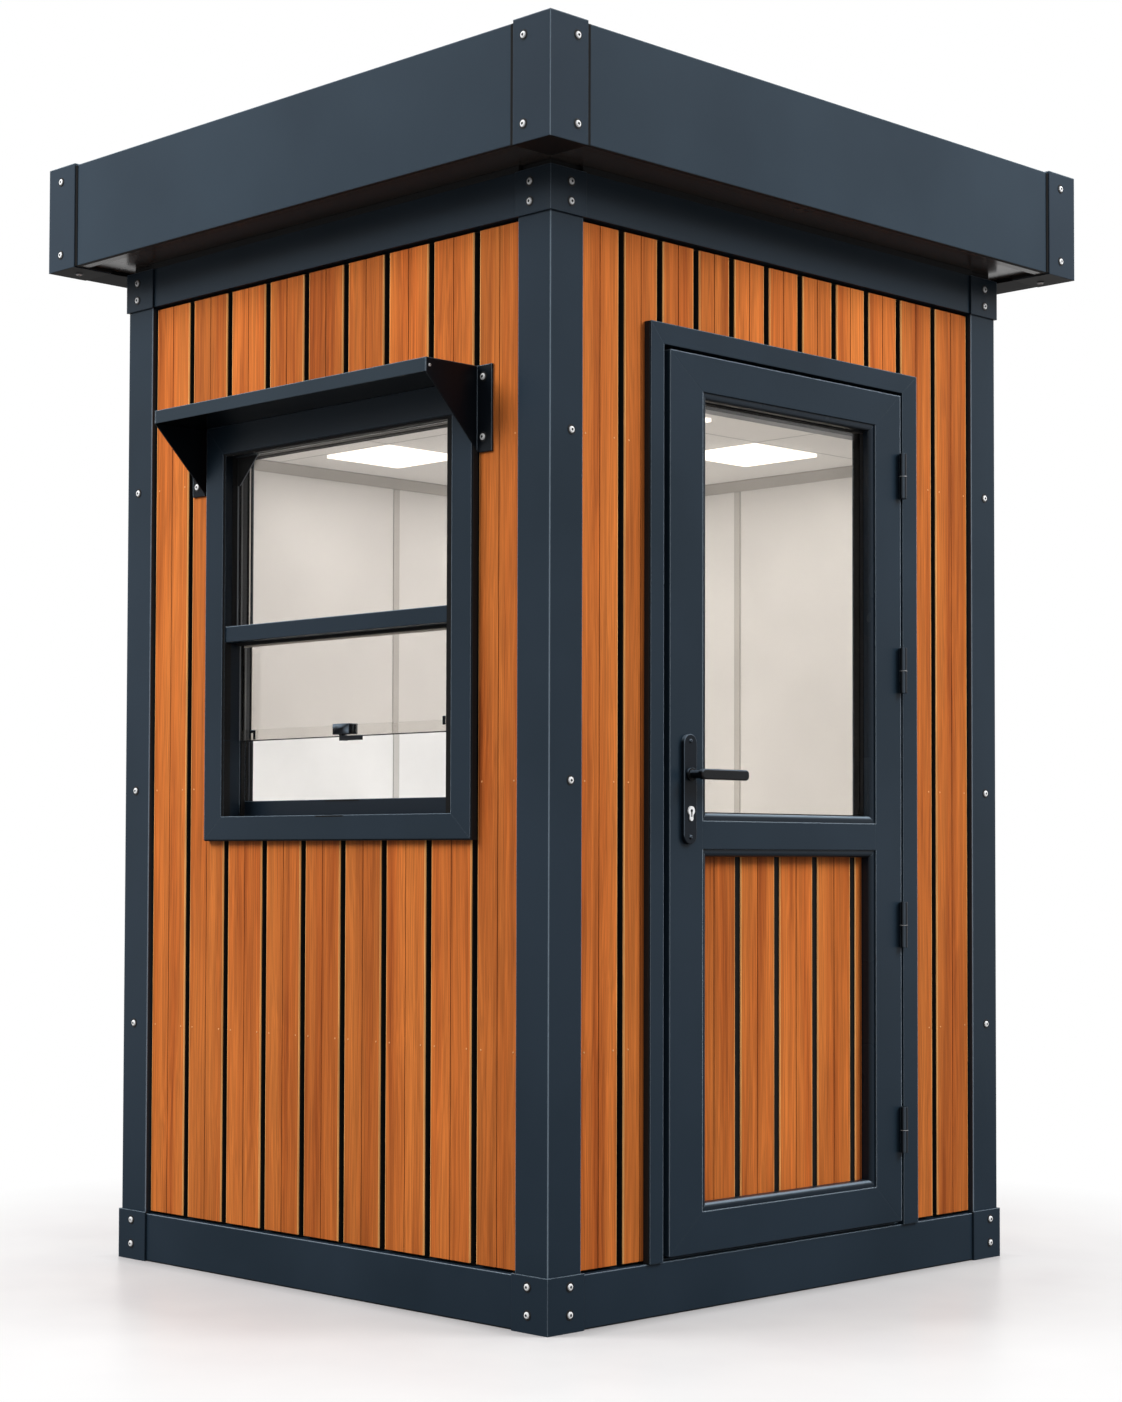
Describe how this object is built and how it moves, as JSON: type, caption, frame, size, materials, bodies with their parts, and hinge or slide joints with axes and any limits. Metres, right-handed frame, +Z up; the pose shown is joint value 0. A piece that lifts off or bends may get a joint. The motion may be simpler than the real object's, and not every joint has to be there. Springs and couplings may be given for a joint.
{
  "type": "security guard booth",
  "caption": "Security guard booth: dark steel corner-post frame, upright timber boards, wide roof fascia, serving window under a small awning, half-glazed door with lever lock, plain inside.",
  "frame": {"origin": "on the ground under the middle of the roof, which is the middle of the bounding box's bottom", "axes": "+Z up; the wall with the serving window faces -Y; the wall with the door faces +X"},
  "size_m": [1.814, 1.888, 2.745],
  "materials": {
    "frame_paint": "semi-gloss dark blue-grey powder coat on folded sheet steel",
    "cladding_wood": "oiled orange-brown boards with upright grain and darker streaks",
    "lining": "smooth white coated sheet",
    "trim_grey": "pale grey plastic trim",
    "core": "insulated panel in a black membrane, hidden behind boards and linings",
    "floor_covering": "grey vinyl sheet with fine flecks",
    "light": "white diffuser of a flat ceiling light",
    "glass": "clear float glass with a faint warm tint",
    "hardware_black": "satin black locks, hinges and latch",
    "steel_bright": "bright zinced bolts and nickel cylinder ends",
    "seal": "matt black rubber and foam strips"
  },
  "bodies": {
    "booth": {"awning_brackets": "frame_paint", "awning_sheet": "frame_paint", "back_cladding": "cladding_wood", "back_wall": "core", "base_beams": "frame_paint", "base_corner_brackets": "frame_paint", "ceiling_lights": "light", "ceiling_panel": "lining", "corner_posts": "frame_paint", "corner_trims": "trim_grey", "cornice_trims": "trim_grey", "door_casing": "frame_paint", "door_frame": "frame_paint", "door_stops": "frame_paint", "fascia_corner_covers": "frame_paint", "fascia_panels": "frame_paint", "floor_panel": "floor_covering", "front_cladding": "cladding_wood", "front_wall": "core", "header_beams": "frame_paint", "hinge_frame_halves": "hardware_black", "left_cladding": "cladding_wood", "left_wall": "core", "right_cladding": "cladding_wood", "right_wall": "core", "roof_deck": "frame_paint", "roof_seat": "seal", "roof_soffit": "frame_paint", "sliding_window_glass": "glass", "top_corner_brackets": "frame_paint", "upper_window_glass": "glass", "wall_linings": "lining", "window_casing": "frame_paint", "window_frame": "frame_paint", "window_latch": "hardware_black", "window_transom": "frame_paint"},
    "door": {"door_leaf_frame": "frame_paint", "door_beads": "frame_paint", "door_glass": "glass", "door_lower_panel": "cladding_wood", "hinge_leaf_halves": "hardware_black", "lock_plates": "hardware_black", "lock_cylinder": "steel_bright"},
    "lever": {"door_levers": "hardware_black"}
  },
  "joints": [
    {"name": "door_hinge", "type": "hinge", "parent": "booth", "child": "door", "pos_m": [0.7795, 0.393, 1.14], "axis": [0, 0, 1], "range_deg": [0, 105]},
    {"name": "lever_spindle", "type": "hinge", "parent": "door", "child": "lever", "pos_m": [0.769, -0.3735, 1.188], "axis": [-1, 0, 0], "range_deg": [0, 45], "stiffness_Nm_per_rad": 1.2, "springref_deg": -57.3}
  ]
}
